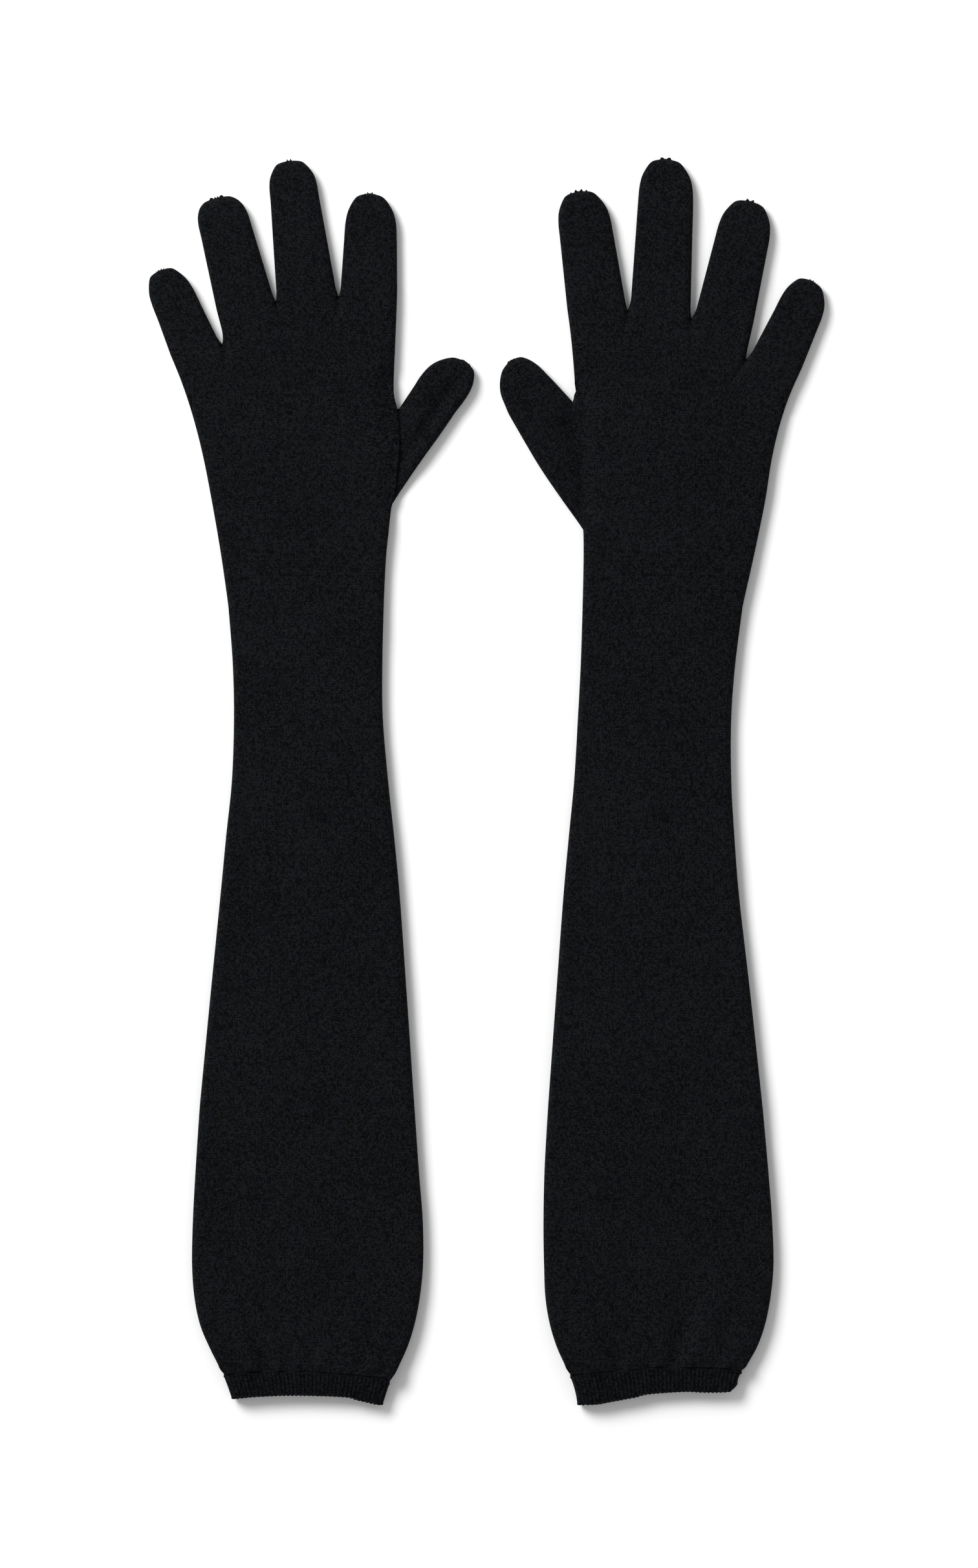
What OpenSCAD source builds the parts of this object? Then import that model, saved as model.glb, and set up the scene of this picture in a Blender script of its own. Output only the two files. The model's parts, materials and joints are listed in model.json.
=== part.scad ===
// A pair of opera gloves in fine knit, lying flat with the backs of the hands up.
// Millimetres. +Y points to the fingertips, +X to the right glove, +Z up off the surface.
// The origin is the middle of the pair's outline, on the surface that the gloves lie on.
// Each glove is a hollow knitted tube, cut into stiff pieces at the places where it folds.

/* [Fabric] */
// Thickness of one knitted wall
wall = 1.2; // [0.9:0.1:1.4]
// Height of a finger lying flat
finger_t = 7.4; // [7:0.1:8]
// Height of the hand lying flat
hand_t = 8.4; // [8:0.1:9]
// Height of the sleeve lying flat
sleeve_t = 9; // [8.4:0.1:10]
// Height of the gathered bell and of its seam
bell_t = 9.6; // [9:0.1:11]

/* [Folds] */
// Gap between two pieces that fold against each other
fold_gap = 0.6; // [0.5:0.1:1]
// Place of the wrist fold along the glove
wrist_y = 80; // [70:1:95]
// Place of the elbow fold along the glove
elbow_y = -150; // [-170:1:-130]

/* [Cuff] */
// Height of the gathering seam between the bell and the ribbed cuff
seam_h = 1.6; // [1:0.1:2]
// Number of ribs on each face of the cuff
cuff_ribs = 36; // [16:2:40]
// How far the ribs stand out
rib_depth = 0.4; // [0.2:0.1:0.6]
// Thickness of one covered elastic thread
elastic_d = 0.8; // [0.5:0.1:1]

/* [Fingertips] */
// How much lower a fingertip is than its finger
tip_drop = 0.3; // [0.1:0.05:0.4]
// Width of the closing seam as a share of the finger's width
closing_share = 0.6; // [0.5:0.05:0.7]

/* [Hidden] */
SIDES = ["left", "right"];
FINGERS = ["index", "middle", "ring", "little", "thumb"];
PARTS = [
    "cuff_edge", "cuff_rib", "cuff_elastic", "gather_seam", "upper_arm_sleeve", "forearm_sleeve",
    "palm", "knuckles", "finger_forks"
];
SEGMENTS = ["lower", "upper", "tip"];

KNIT = [0.085, 0.09, 0.097];
RIB = [0.07, 0.075, 0.08];
SEAM = [0.06, 0.063, 0.068];
ELASTIC = [0.03, 0.03, 0.032];

// A station is [x, y, heading, half width]: the heading turns from +Y towards +X.
// The sides of the sleeve, from the bell up to the wrist: [y, left x, right x]
LEFT_SLEEVE = [
    [-270, -124.4, -40.2], [-262, -128.4, -36.6], [-252, -132.6, -33.4], [-240, -135.2, -31],
    [-225, -136.4, -29.4], [-205, -136.1, -29.4], [-180, -134.8, -31.3], [-150, -132.8, -33.4],
    [-100, -128, -36.8], [-50, -123, -40.4], [-25, -120.6, -42.8], [0, -118, -45.5],
    [30, -117, -48], [55, -117.6, -48.2], [80, -119.5, -47.6]
];
RIGHT_SLEEVE = [
    [-270, 36.2, 120.9], [-262, 32.6, 125.4], [-252, 29.5, 129], [-240, 27.4, 131.5],
    [-225, 26.7, 133], [-205, 26.4, 132.5], [-180, 26.9, 130.6], [-150, 28.6, 127.9],
    [-100, 32.2, 122.5], [-50, 35.9, 116.8], [-25, 38.2, 114.9], [0, 40.6, 113.5],
    [30, 42.4, 113.5], [55, 43.7, 115.4], [80, 44.5, 118.6]
];
// The sides of the hand, from the wrist up to the knuckles: [y, left x, right x]
LEFT_HAND = [
    [80, -119.5, -47.6], [105, -123, -46.4], [130, -127.3, -43.8], [150, -131.2, -43.3],
    [172, -136.6, -43.1], [184, -141, -43.3], [195, -144, -43.2]
];
RIGHT_HAND = [
    [80, 44.5, 118.6], [105, 45, 124.1], [130, 43.7, 129.2], [150, 42.4, 132.4],
    [172, 41, 137.6], [184, 41.6, 142.8], [192, 42.8, 143.6]
];
// The cuff: stations where the gathering seam starts, where the ribs end and at the free edge
LEFT_CUFF = [[-83.2, -276.6, 4.4, 38.6], [-83, -286.2, 2.6, 35.4], [-83, -287.4, 2.2, 35.2]];
RIGHT_CUFF = [[78.6, -275.2, 1.8, 39.8], [79, -284.4, -2.4, 37.6], [79.2, -286, -3, 37.2]];

// A finger is [root x, root y, heading, length, half width at the root, half width at the tip,
// length of the round tip, how square the tip is, place of the knuckle fold, place of the middle fold,
// how far the round tip leans to the right]
LEFT_FINGERS = [
    [-54.5, 226, 1.8, 46.6, 13.2, 12.2, 21, 2.3, 1.5, 24, -1],
    [-83.2, 224, -7, 64.2, 14, 11.3, 18, 2.6, 3.5, 34, -0.5],
    [-110, 214, -14.5, 58.4, 13.8, 12, 16, 2.8, 8, 33, -0.6],
    [-133.3, 196, -23, 44.8, 11.8, 10.5, 21, 2.6, 6, 25, -0.7],
    [-32.4, 164, 33, 38.2, 11, 11.4, 18, 2.2, 4, 16, 2.8]
];
RIGHT_FINGERS = [
    [51, 220, -8, 54.2, 13.6, 12.4, 21, 2.5, 0.5, 28, -0.8],
    [80.5, 216, 2.8, 72.6, 14, 12.8, 21, 2.4, 5, 38, -1],
    [109.7, 212, 12.8, 58.4, 13.7, 12.5, 21, 2.5, 3, 31, -0.4],
    [133.3, 192, 24.8, 43.8, 12.2, 10.9, 19, 2.4, 4.8, 24.4, -1],
    [30.6, 162.2, -36, 38.2, 13.8, 11.3, 16, 2, 6, 18, 3.6]
];
// The thumb's root along the hand's edge: the stations from the fold to the thumb's own straight part
LEFT_THUMB_ROOT = [[-42.6, 151, 90, 20.8], [-36.8, 159, 72, 14.2]];
RIGHT_THUMB_ROOT = [[42, 145, -94, 27], [33.4, 157.4, -69, 17.2]];
// The forks between the fingers: [x, y], and the size of their bars of stitches
LEFT_FORKS = [[-68.4, 222], [-97.6, 219.8], [-122.4, 200]];
RIGHT_FORKS = [[65.4, 215.6], [95, 212], [120.2, 193]];
FORK = [3, 3.6];

// Steps of a half turn round the side of a flattened tube
ARC_STEPS = 4;
// Where the hand's tube ends and the knuckles' piece starts, with the gap between the two
PALM_TOP = 172;
PALM_GAP = 0.06;
// Rows of a side table nearer than this to the end of a piece are left out
NEAR = 3;
// The least half width of a fingertip's station
TIP_HALF = 1.6;
// Size of the hole that the thumb grows out of: its depth, and how much shorter it is than the root
THUMB_HOLE = 7.2;
THUMB_MARGIN = 2;
// Places of the elastic threads down the cuff, and the play round them
ELASTIC_PLACES = [0.3, 0.7];
PLAY = 0.05;
// How far a hollow is cut past the face that it opens in
OVERLAP = 1;
// Height of the bound edge, which lies flatter than the ribs
edge_t = sleeve_t - 0.6;
// How much wider a finger's stub is where it leaves the hand, on the sides that have a neighbour
STUB_FLARE = 3;
// How far the stubs reach down into the hand
STUB_DEPTH = 6;
// Stations along a round tip, as shares of its length, and the last one of its closing seam
TIP_SHARES = [0, 0.35, 0.6, 0.8];
TIP_END = 0.99;

// One flattened ring of knit: points round a bar with round sides, in the plane across the heading
function bar(w, t) = let (e = min(w, t / 2)) [
    for (s = [1, -1]) for (i = [0:ARC_STEPS])
        let (a = -90 * s + 180 * s * i / ARC_STEPS)
        [s * (w - e) + s * e * cos(a), t / 2 * sin(a)]
];
function place(st, pts, base, t) = [
    for (p = pts) [st[0] + p[0] * cos(st[2]), st[1] - p[0] * sin(st[2]), base + t / 2 + p[1]]
];
function outer_ring(st, t) = place(st, bar(st[3], t), 0, t);
function inner_ring(st, t) = place(st, bar(st[3] - wall, t - 2 * wall), wall, t - 2 * wall);

// The faces of a skin that joins one ring of n points to the next, from point number a and b
function band(a, b, n, flip) = [
    for (i = [0:n - 1]) let (j = (i + 1) % n) each (
        flip ? [[a + i, b + i, b + j], [a + i, b + j, a + j]]
             : [[a + i, b + j, b + i], [a + i, a + j, b + j]]
    )
];
function cap(a, n, flip) = [[for (i = [0:n - 1]) flip ? a + i : a + n - 1 - i]];

// A solid through a list of rings
module solid_of(rings) {
    n = len(rings[0]);
    m = len(rings);
    polyhedron(
        points = [for (r = rings) each r],
        faces = concat(
            [for (k = [0:m - 2]) each band(k * n, (k + 1) * n, n, false)],
            cap(0, n, false),
            cap((m - 1) * n, n, true)
        ),
        convexity = 4
    );
}

// A tube with an outer and an inner skin, open at both ends
module tube_of(outer, inner) {
    n = len(outer[0]);
    m = len(outer);
    k0 = m * n;
    polyhedron(
        points = concat([for (r = outer) each r], [for (r = inner) each r]),
        faces = concat(
            [for (k = [0:m - 2]) each band(k * n, (k + 1) * n, n, false)],
            [for (k = [0:m - 2]) each band(k0 + k * n, k0 + (k + 1) * n, n, true)],
            band(0, k0, n, true),
            band((m - 1) * n, k0 + (m - 1) * n, n, false)
        ),
        convexity = 6
    );
}

module tube(stations, heights) {
    tube_of(
        [for (i = [0:len(stations) - 1]) outer_ring(stations[i], heights[i])],
        [for (i = [0:len(stations) - 1]) inner_ring(stations[i], heights[i])]
    );
}

function same(stations, t) = [for (s = stations) t];

// Smooth values between the rows of a side table, at a place along the glove
function row_at(rows, y, i = 0) =
    i >= len(rows) - 2 || (y - rows[i][0]) * (y - rows[i + 1][0]) <= 0 ? i : row_at(rows, y, i + 1);
function smooth(p0, p1, p2, p3, u) =
    p1 + (p2 - p0) * u / 2 + (2 * p0 - 5 * p1 + 4 * p2 - p3) * u * u / 2
    + (3 * p1 - p0 - 3 * p2 + p3) * u * u * u / 2;
function side_at(rows, y) =
    let (
        i = row_at(rows, y),
        last = len(rows) - 1,
        u = (y - rows[i][0]) / (rows[i + 1][0] - rows[i][0]),
        a = rows[max(i - 1, 0)],
        b = rows[i],
        c = rows[i + 1],
        d = rows[min(i + 2, last)],
        l = smooth(a[1], b[1], c[1], d[1], u),
        r = smooth(a[2], b[2], c[2], d[2], u)
    )
    [(l + r) / 2, y, 0, (r - l) / 2];

// The stations of a table between two places, with the table's own rows in between
function run(rows, y0, y1) = concat(
    [side_at(rows, y0)],
    [for (r = rows) if (r[0] > y0 + NEAR && r[0] < y1 - NEAR) side_at(rows, r[0])],
    [side_at(rows, y1)]
);

function is_left(side) = side == "left";
function sleeve_rows(side) = is_left(side) ? LEFT_SLEEVE : RIGHT_SLEEVE;
function hand_rows(side) = is_left(side) ? LEFT_HAND : RIGHT_HAND;
function cuff(side) = is_left(side) ? LEFT_CUFF : RIGHT_CUFF;
function forks(side) = is_left(side) ? LEFT_FORKS : RIGHT_FORKS;
function thumb_root(side) = is_left(side) ? LEFT_THUMB_ROOT : RIGHT_THUMB_ROOT;
function finger_row(side, finger) =
    (is_left(side) ? LEFT_FINGERS : RIGHT_FINGERS)[search([finger], FINGERS)[0]];

// A finger's station at a distance along it, with the round tip
function tip_u(f, s) = max(0, (s - (f[3] - f[6])) / f[6]);
function finger_w(f, s) =
    (f[4] + (f[5] - f[4]) * min(1, s / (f[3] - f[6]))) * pow(max(0, 1 - pow(tip_u(f, s), f[7])), 1 / f[7]);
function finger_at(f, s) = let (lean = f[10] * pow(tip_u(f, s), 2)) [
    f[0] + s * sin(f[2]) + lean * cos(f[2]), f[1] + s * cos(f[2]) - lean * sin(f[2]), f[2],
    max(TIP_HALF, finger_w(f, s))
];
function finger_h(f, s) = finger_t * (1 - tip_drop * pow(tip_u(f, s), 2));
// Where the closing seam starts, as a share of the round tip
function closing_u(f) = pow(1 - pow(closing_share, f[7]), 1 / f[7]);
function tip_s(f, u) = f[3] - f[6] + u * f[6];

// A place on the cuff between two of its stations, moved a set distance towards the fingertips
function moved(st, d) = [st[0] + d * sin(st[2]), st[1] + d * cos(st[2]), st[2], st[3]];

/* Sub-parts of one glove */

module cuff_edge(side) {
    c = cuff(side);
    color(SEAM) tube([c[2], c[1]], [edge_t, edge_t]);
}

// A ring with ribs along its two flat sides, and the plain ring inside it with as many points
function rib_x(w, t, i) = (w - t / 2) * (1 - i / cuff_ribs);
function rib_bar(w, t, depth) = [
    for (s = [1, -1]) each concat(
        [
            for (i = [0:ARC_STEPS])
                let (a = -90 * s + 180 * s * i / ARC_STEPS)
                [s * (w - t / 2) + s * t / 2 * cos(a), t / 2 * sin(a)]
        ],
        [
            for (i = [1:2 * cuff_ribs - 1])
                [s * rib_x(w, t, i), s * (t / 2 - (i % 2 == 1 ? depth : 0))]
        ]
    )
];
function rib_ring(st, t) = place(st, rib_bar(st[3], t, rib_depth), 0, t);
function rib_lining(st, t) = place(st, rib_bar(st[3] - wall, t - 2 * wall, 0), wall, t - 2 * wall);

module cuff_rib(side) {
    c = cuff(side);
    t = sleeve_t;
    stations = [c[1], moved(c[0], -seam_h)];
    color(RIB) tube_of([for (s = stations) rib_ring(s, t)], [for (s = stations) rib_lining(s, t)]);
}

// Two covered elastic threads that lie inside the ribs and hold the top of the glove up
module cuff_elastic(side) {
    c = cuff(side);
    d = elastic_d;
    t = sleeve_t - 2 * (wall + PLAY);
    color(ELASTIC) for (share = ELASTIC_PLACES) {
        st = moved(c[0] + (c[1] - c[0]) * share, -seam_h * (1 - share));
        w = st[3] - wall - 2 * PLAY;
        loop = [for (k = [0, d]) moved([st[0], st[1], st[2], w], k)];
        tube_of(
            [for (s = loop) place(s, bar(w, t), wall + PLAY, t)],
            [for (s = loop) place(s, bar(w - d, t - 2 * d), wall + PLAY + d, t - 2 * d)]
        );
    }
}

module gather_seam(side) {
    c = cuff(side)[0];
    color(SEAM) tube([moved(c, -seam_h), c], [bell_t, bell_t]);
}

module upper_arm_sleeve(side) {
    rows = sleeve_rows(side);
    stations = concat([cuff(side)[0]], run(rows, rows[0][0], elbow_y - fold_gap / 2));
    m = len(stations);
    color(KNIT) tube(stations, [for (i = [0:m - 1]) bell_t + (sleeve_t - bell_t) * i / (m - 1)]);
}

module forearm_sleeve(side) {
    stations = run(sleeve_rows(side), elbow_y + fold_gap / 2, wrist_y - fold_gap / 2);
    color(KNIT) tube(stations, [
        for (s = stations) hand_t + (sleeve_t - hand_t) * (wrist_y - s[1]) / (wrist_y - elbow_y)
    ]);
}

// The hand's tube up to the thumb's fork, with the hole that the thumb grows out of
module palm(side) {
    stations = run(hand_rows(side), wrist_y + fold_gap / 2, PALM_TOP);
    r = thumb_root(side)[0];
    hole = [THUMB_HOLE, 2 * (r[3] - THUMB_MARGIN), finger_t - 2 * wall];
    color(KNIT) difference() {
        tube(stations, same(stations, hand_t));
        translate([r[0], r[1], wall + hole[2] / 2]) cube(hole, center = true);
    }
}

// Which sides of a finger's stub flare: [left, right]. The index and little fingers have one neighbour
function flare(side, finger) =
    finger == (is_left(side) ? 3 : 0) ? [0, STUB_FLARE]
    : finger == (is_left(side) ? 0 : 3) ? [STUB_FLARE, 0]
    : [STUB_FLARE, STUB_FLARE];
function stub_base(f, y, grow) =
    let (s = (y - f[1]) / cos(f[2]), off = (grow[1] - grow[0]) / 2)
    [f[0] + s * sin(f[2]) + off * cos(f[2]), y - off * sin(f[2]), f[2], f[4] + (grow[0] + grow[1]) / 2];

// The four short stubs of the fingers, solid or as their hollow
module stubs(side, hollow) {
    top = hand_rows(side)[len(hand_rows(side)) - 1][0];
    for (finger = [0:3]) {
        f = (is_left(side) ? LEFT_FINGERS : RIGHT_FINGERS)[finger];
        base = stub_base(f, top - STUB_DEPTH - (hollow ? wall : 0), flare(side, finger));
        end = finger_at(f, f[8] - fold_gap / 2);
        ends = hollow ? [base, end, moved(end, OVERLAP)] : [base, end];
        solid_of([for (s = ends) hollow ? inner_ring(s, finger_t) : outer_ring(s, finger_t)]);
    }
}

module fork_bars(side) {
    for (p = forks(side))
        translate([p[0], p[1], finger_t / 2]) cube([FORK[0], FORK[1], finger_t - 3 * wall], center = true);
}

// The top of the hand with the stubs that the fingers fold against
module knuckles(side) {
    rows = hand_rows(side);
    last = rows[len(rows) - 1][0];
    outer = run(rows, PALM_TOP + PALM_GAP, last);
    inner = concat([side_at(rows, PALM_TOP - OVERLAP)], run(rows, PALM_TOP + 2 * OVERLAP, last - wall));
    color(KNIT) difference() {
        union() {
            solid_of([for (s = outer) outer_ring(s, hand_t)]);
            stubs(side, false);
        }
        union() {
            solid_of([for (s = inner) inner_ring(s, hand_t)]);
            stubs(side, true);
        }
        fork_bars(side);
    }
}

// The stitches that close the forks between the fingers
module finger_forks(side) {
    color(SEAM) fork_bars(side);
}

module finger_lower(side, finger) {
    f = finger_row(side, finger);
    first = f[8] + (finger == "thumb" ? 0 : fold_gap / 2);
    straight = [for (s = [first, f[9] - fold_gap / 2]) finger_at(f, s)];
    stations = concat(finger == "thumb" ? thumb_root(side) : [], straight);
    color(KNIT) tube(stations, same(stations, finger_t));
}

module finger_upper(side, finger) {
    f = finger_row(side, finger);
    places = concat(
        [f[9] + fold_gap / 2],
        [for (u = TIP_SHARES) if (tip_s(f, u) > f[9] + 2 && u < closing_u(f) - 0.1) tip_s(f, u)],
        [tip_s(f, closing_u(f))]
    );
    color(KNIT) tube([for (s = places) finger_at(f, s)], [for (s = places) finger_h(f, s)]);
}

// The seam that closes the fingertip
module finger_tip(side, finger) {
    f = finger_row(side, finger);
    shares = [closing_u(f), (1 + closing_u(f)) / 2, TIP_END];
    color(SEAM) solid_of([
        for (u = shares) outer_ring(finger_at(f, tip_s(f, u)), finger_h(f, tip_s(f, u)))
    ]);
}

for (side = SIDES) {
    cuff_edge(side);
    cuff_rib(side);
    cuff_elastic(side);
    gather_seam(side);
    upper_arm_sleeve(side);
    forearm_sleeve(side);
    palm(side);
    knuckles(side);
    finger_forks(side);
    for (f = FINGERS) {
        finger_lower(side, f);
        finger_upper(side, f);
        finger_tip(side, f);
    }
}
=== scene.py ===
"""A pair of fine-knit opera gloves, lying flat with the backs of the hands up.

Shapes are worked out in millimetres and turned into metres when a mesh is made.
Along a glove, +Y points to the fingertips. A finger's own frame is (s, c): s runs from its
knuckle fold to its tip and c runs across it, to the right when the glove is seen from above.
"""
import json
import math

import bpy
import numpy as np
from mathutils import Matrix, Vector


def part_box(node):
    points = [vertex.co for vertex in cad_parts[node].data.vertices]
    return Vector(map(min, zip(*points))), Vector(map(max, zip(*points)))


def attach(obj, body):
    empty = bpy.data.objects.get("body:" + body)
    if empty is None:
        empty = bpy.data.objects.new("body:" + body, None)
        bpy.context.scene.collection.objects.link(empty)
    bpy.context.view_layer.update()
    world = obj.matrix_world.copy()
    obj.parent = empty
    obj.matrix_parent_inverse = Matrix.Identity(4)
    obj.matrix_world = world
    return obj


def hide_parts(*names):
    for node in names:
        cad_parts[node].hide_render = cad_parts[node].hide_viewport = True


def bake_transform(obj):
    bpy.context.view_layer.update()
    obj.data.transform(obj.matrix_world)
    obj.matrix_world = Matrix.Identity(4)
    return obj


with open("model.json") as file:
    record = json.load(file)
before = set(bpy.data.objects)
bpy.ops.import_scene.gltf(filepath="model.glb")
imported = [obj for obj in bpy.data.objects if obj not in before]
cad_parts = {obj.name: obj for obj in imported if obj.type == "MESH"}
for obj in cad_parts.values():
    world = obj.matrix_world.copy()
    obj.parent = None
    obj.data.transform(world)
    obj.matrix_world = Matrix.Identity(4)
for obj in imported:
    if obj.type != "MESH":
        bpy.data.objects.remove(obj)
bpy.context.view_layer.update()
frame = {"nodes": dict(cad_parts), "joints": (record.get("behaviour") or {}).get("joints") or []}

MM = 0.001
SIDES = ("left", "right")
FINGERS = ("index", "middle", "ring", "little")

# The fabric
WALL = 1.1          # thickness of the knit
FINGER_WALL = WALL - 0.2
THUMB_WALL = WALL - 0.3
ROUND = 3.4         # width of the rounded edge of a flattened tube
SLACK = 0.5         # how much thinner the knit lies than its CAD solid
GROUND = 0.15       # gap between the knit and the floor
WALE = 1.5          # width of one column of stitches
COURSE = 1.12       # height of one row of stitches
EDGE_STEPS = (0, 0.15, 0.5, 1.05, 1.75, 2.55, 3.5)   # distance of the first columns from an edge
MID_STEPS = 15      # columns between the two edge groups of a finger
ROW = 1.5           # distance between rows

# The folds between the moving pieces, as distances along a piece
WRIST_REACH = 30    # how far below the wrist the hand's piece starts
FAN_START = 70      # how far above the wrist the wales start to turn into the fingers
SLEEVE_START = -270.0
KNUCKLE_BEND = (-1.5, 9)
MIDDLE_BEND = (-6, 6)

# The thumb
VALLEY = {"left": 2.3, "right": 0.5}        # depth of the soft valley along it
ROOT_SHARE = 0.62   # how thick its root lies under the hand, as a share of its thickness
ROOT_DEPTH = 17     # how far its root goes in under the hand
ROOT_THINS = (11.5, 19)     # where the root thins out, as distances in from the hand's edge
# How far the hand's edge reaches out over the thumb: [distance below the crotch, reach]
OVER_THUMB = {
    "left": ((-12, 0), (-6, 0.5), (0, 2.2), (6, 3.0), (16, 4.0), (28, 3.0), (38, 1.5), (46, 0), (60, 0)),
    "right": ((-12, 0), (-6, -0.3), (0, 1.2), (12, 1.4), (28, 0.9), (42, 0.4), (52, 0.2), (60, 0), (70, 0)),
}
EDGE_LIFT = {"left": -0.7, "right": 0.3}    # how far the hand's edge lies above the thumb's root
EDGE_SLOPE = {"left": 1.0, "right": 0.6}    # 1: the hand slopes straight down to it, less: rounder
FORK_FULL = {"left": 0.0, "right": 2.4}     # how much fuller than the CAD its fork side is
OUTER_FULL = {"left": 0.6, "right": -0.8}   # and its outer side

# The hand's creases and the closing seams of the tips
CREASE_DEPTH = 1.7
CREASE_LENGTH = 11
SEAM_LENGTH = 7.5       # how far from the tip a closing seam starts
SEAM_INSET = 0.62       # how far inside the outline its thread lies
SEAM_RADIUS = 0.36

# The cuff
RIB_PITCH = 1.94
RIB_DEPTH = 0.34
EDGE_RADIUS = 0.62      # of the cord of stitches along the free edge
ELASTIC_RADIUS = 0.4
ELASTIC_PLACES = (0.3, 0.7)     # of the two threads, as shares of the way down the ribs
# How far the free edge lies above the straight line between its ends: [share across, height]
EDGE_RISE = {
    "left": ((0, 0.2), (0.2, 1.9), (0.47, 3.1), (0.7, 3.2), (0.84, 1.9), (0.97, 0.2), (1, 0.0)),
    "right": ((0, -0.7), (0.1, -0.9), (0.2, -0.1), (0.35, 1.4), (0.5, 2.8), (0.65, 2.9), (0.8, 2.1),
              (0.93, 1.7), (0.97, 2.7), (1, 4.6)),
}
# The same for the line of the gathering
SEAM_RISE = {
    "left": ((0, -0.4), (0.3, 2.8), (0.6, 3.8), (0.86, 3.8), (1, 1.9)),
    "right": ((0, -0.5), (0.3, 2.2), (0.62, 4.6), (0.85, 4.8), (1, 4.0)),
}
WAIST = {"left": 0.1, "right": 0.5}     # how far the ribbing draws in half way down

# Soft folds that rise from the gathering: [share across, lean, length, depth, width]
GATHERS = {
    "left": ((-0.8, -0.35, 30, 1.2, 3.0), (-0.44, -0.44, 25, 3.0, 2.6), (-0.2, -0.3, 11, 1.6, 2.0),
             (0.05, 0.1, 24, 0.8, 3.0), (0.33, 0.05, 18, 0.9, 2.6), (0.62, 0.25, 26, 1.1, 3.0),
             (0.86, 0.4, 22, 1.1, 2.6)),
    "right": ((-0.84, -0.5, 22, 1.2, 2.6), (-0.4, -0.5, 17, 2.9, 2.4), (-0.08, 0.16, 22, 1.1, 2.2),
              (0.2, 0.2, 42, 2.8, 3.6), (0.48, 0.3, 16, 1.0, 2.4), (0.68, 0.35, 24, 1.0, 2.8),
              (0.88, 0.55, 22, 1.2, 2.6)),
}

# Light and camera, in metres
WORLD_LIGHT = 0.5
SUN_LIGHT = 2.0
SUN_ANGLE = 24                      # degrees: how soft the shadows are
SUN_DIRECTION = (0.78, -0.72, -1.0)
BOX_LIGHT = 15
BOX_SIZE = 0.9
BOX_PLACE = (-0.9, 1.05, 1.2)
BOX_DIRECTION = (0.9, -0.95, -1.2)
CAMERA_PLACE = (0.0012, -0.0012, 4.5)
FRAME_HEIGHT = 0.7269               # how much of the floor the picture shows


# ---------------------------------------------------------------- the frame's own measures

def cad_points(*nodes):
    """The vertices of CAD nodes, in millimetres."""
    found = [np.array([v.co for v in frame["nodes"][n].data.vertices]) for n in nodes]
    return np.concatenate(found) / MM


def joint(name):
    return next(j for j in frame["joints"] if j["name"] == name)


def hinge(name):
    """Where a fold line is, the direction across it and the direction along the glove."""
    j = joint(name)
    across = np.array(j["axis"][:2])
    return np.array(j["pos_m"][:2]) / MM, across, np.array([-across[1], across[0]])


def top_of(node):
    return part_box(node)[1].z / MM


def stations(points, origin, across, along):
    """The rings of a CAD tube: rows of place along it, left side and right side."""
    s = (points[:, :2] - origin) @ along
    c = (points[:, :2] - origin) @ across
    order = np.argsort(s)
    groups = np.split(order, np.nonzero(np.diff(s[order]) > 0.2)[0] + 1)
    return np.array([[s[g].mean(), c[g].min(), c[g].max()] for g in groups if len(g) > 7])


def far_side(node, origin, direction):
    """How far a CAD node reaches from a point in one direction, on the upright plane through both."""
    o = frame["nodes"][node]
    co = cad_points(node)[:, :2] - origin
    across = co @ np.array([direction[1], -direction[0]])
    along = co @ direction
    reach = 0.0
    for e in o.data.edges:
        a, b = e.vertices
        if across[a] * across[b] < 0:
            t = across[a] / (across[a] - across[b])
            reach = max(reach, along[a] + t * (along[b] - along[a]))
    return reach


def between(t, t0, t1, a, b):
    """The mix of a and b that is a at t0 and b at t1."""
    return ((t1 - t) * a + (t - t0) * b) / (t1 - t0)


def curve_through(points, step=0.4):
    """A smooth curve through a list of points of any dimension, as close points."""
    p = np.asarray(points, float)
    p = np.vstack([2 * p[0] - p[1], p, 2 * p[-1] - p[-2]])
    knots = np.concatenate([[0], np.cumsum(np.sqrt(np.linalg.norm(np.diff(p, axis=0), axis=1)))])
    out = []
    for i in range(1, len(p) - 2):
        t0, t1, t2, t3 = knots[i - 1:i + 3]
        n = max(2, int(np.linalg.norm(p[i + 1] - p[i]) / step))
        t = np.linspace(t1, t2, n, endpoint=False)[:, None]
        a1, a2, a3 = (between(t, knots[k], knots[k + 1], p[k], p[k + 1]) for k in (i - 1, i, i + 1))
        b1, b2 = between(t, t0, t2, a1, a2), between(t, t1, t3, a2, a3)
        out.append(between(t, t1, t2, b1, b2))
    return np.vstack(out + [p[-2:-1]])


def spaced(curve, n):
    """n points at equal distances along a curve of close points."""
    d = travel_along(curve)
    at = np.linspace(0, d[-1], n)
    return np.stack([np.interp(at, d, curve[:, k]) for k in range(curve.shape[1])], 1)


def travel_along(curve):
    """The distance travelled along a curve at each of its points."""
    return np.concatenate([[0], np.cumsum(np.linalg.norm(np.diff(curve, axis=0), axis=1))])


def bell(x):
    return np.exp(-x ** 2)


def smoothstep(a, b, x):
    t = np.clip((x - a) / (b - a), 0, 1)
    return t * t * (3 - 2 * t)


# ---------------------------------------------------------------- the outline of one glove

def closed_tip(rows):
    """Rows of a finger whose last one is drawn together to a point."""
    mid = (rows[-1][1] + rows[-1][2]) / 2
    return np.vstack([rows[:-1], [[rows[-1][0] + 0.12, mid, mid]]])


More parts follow.
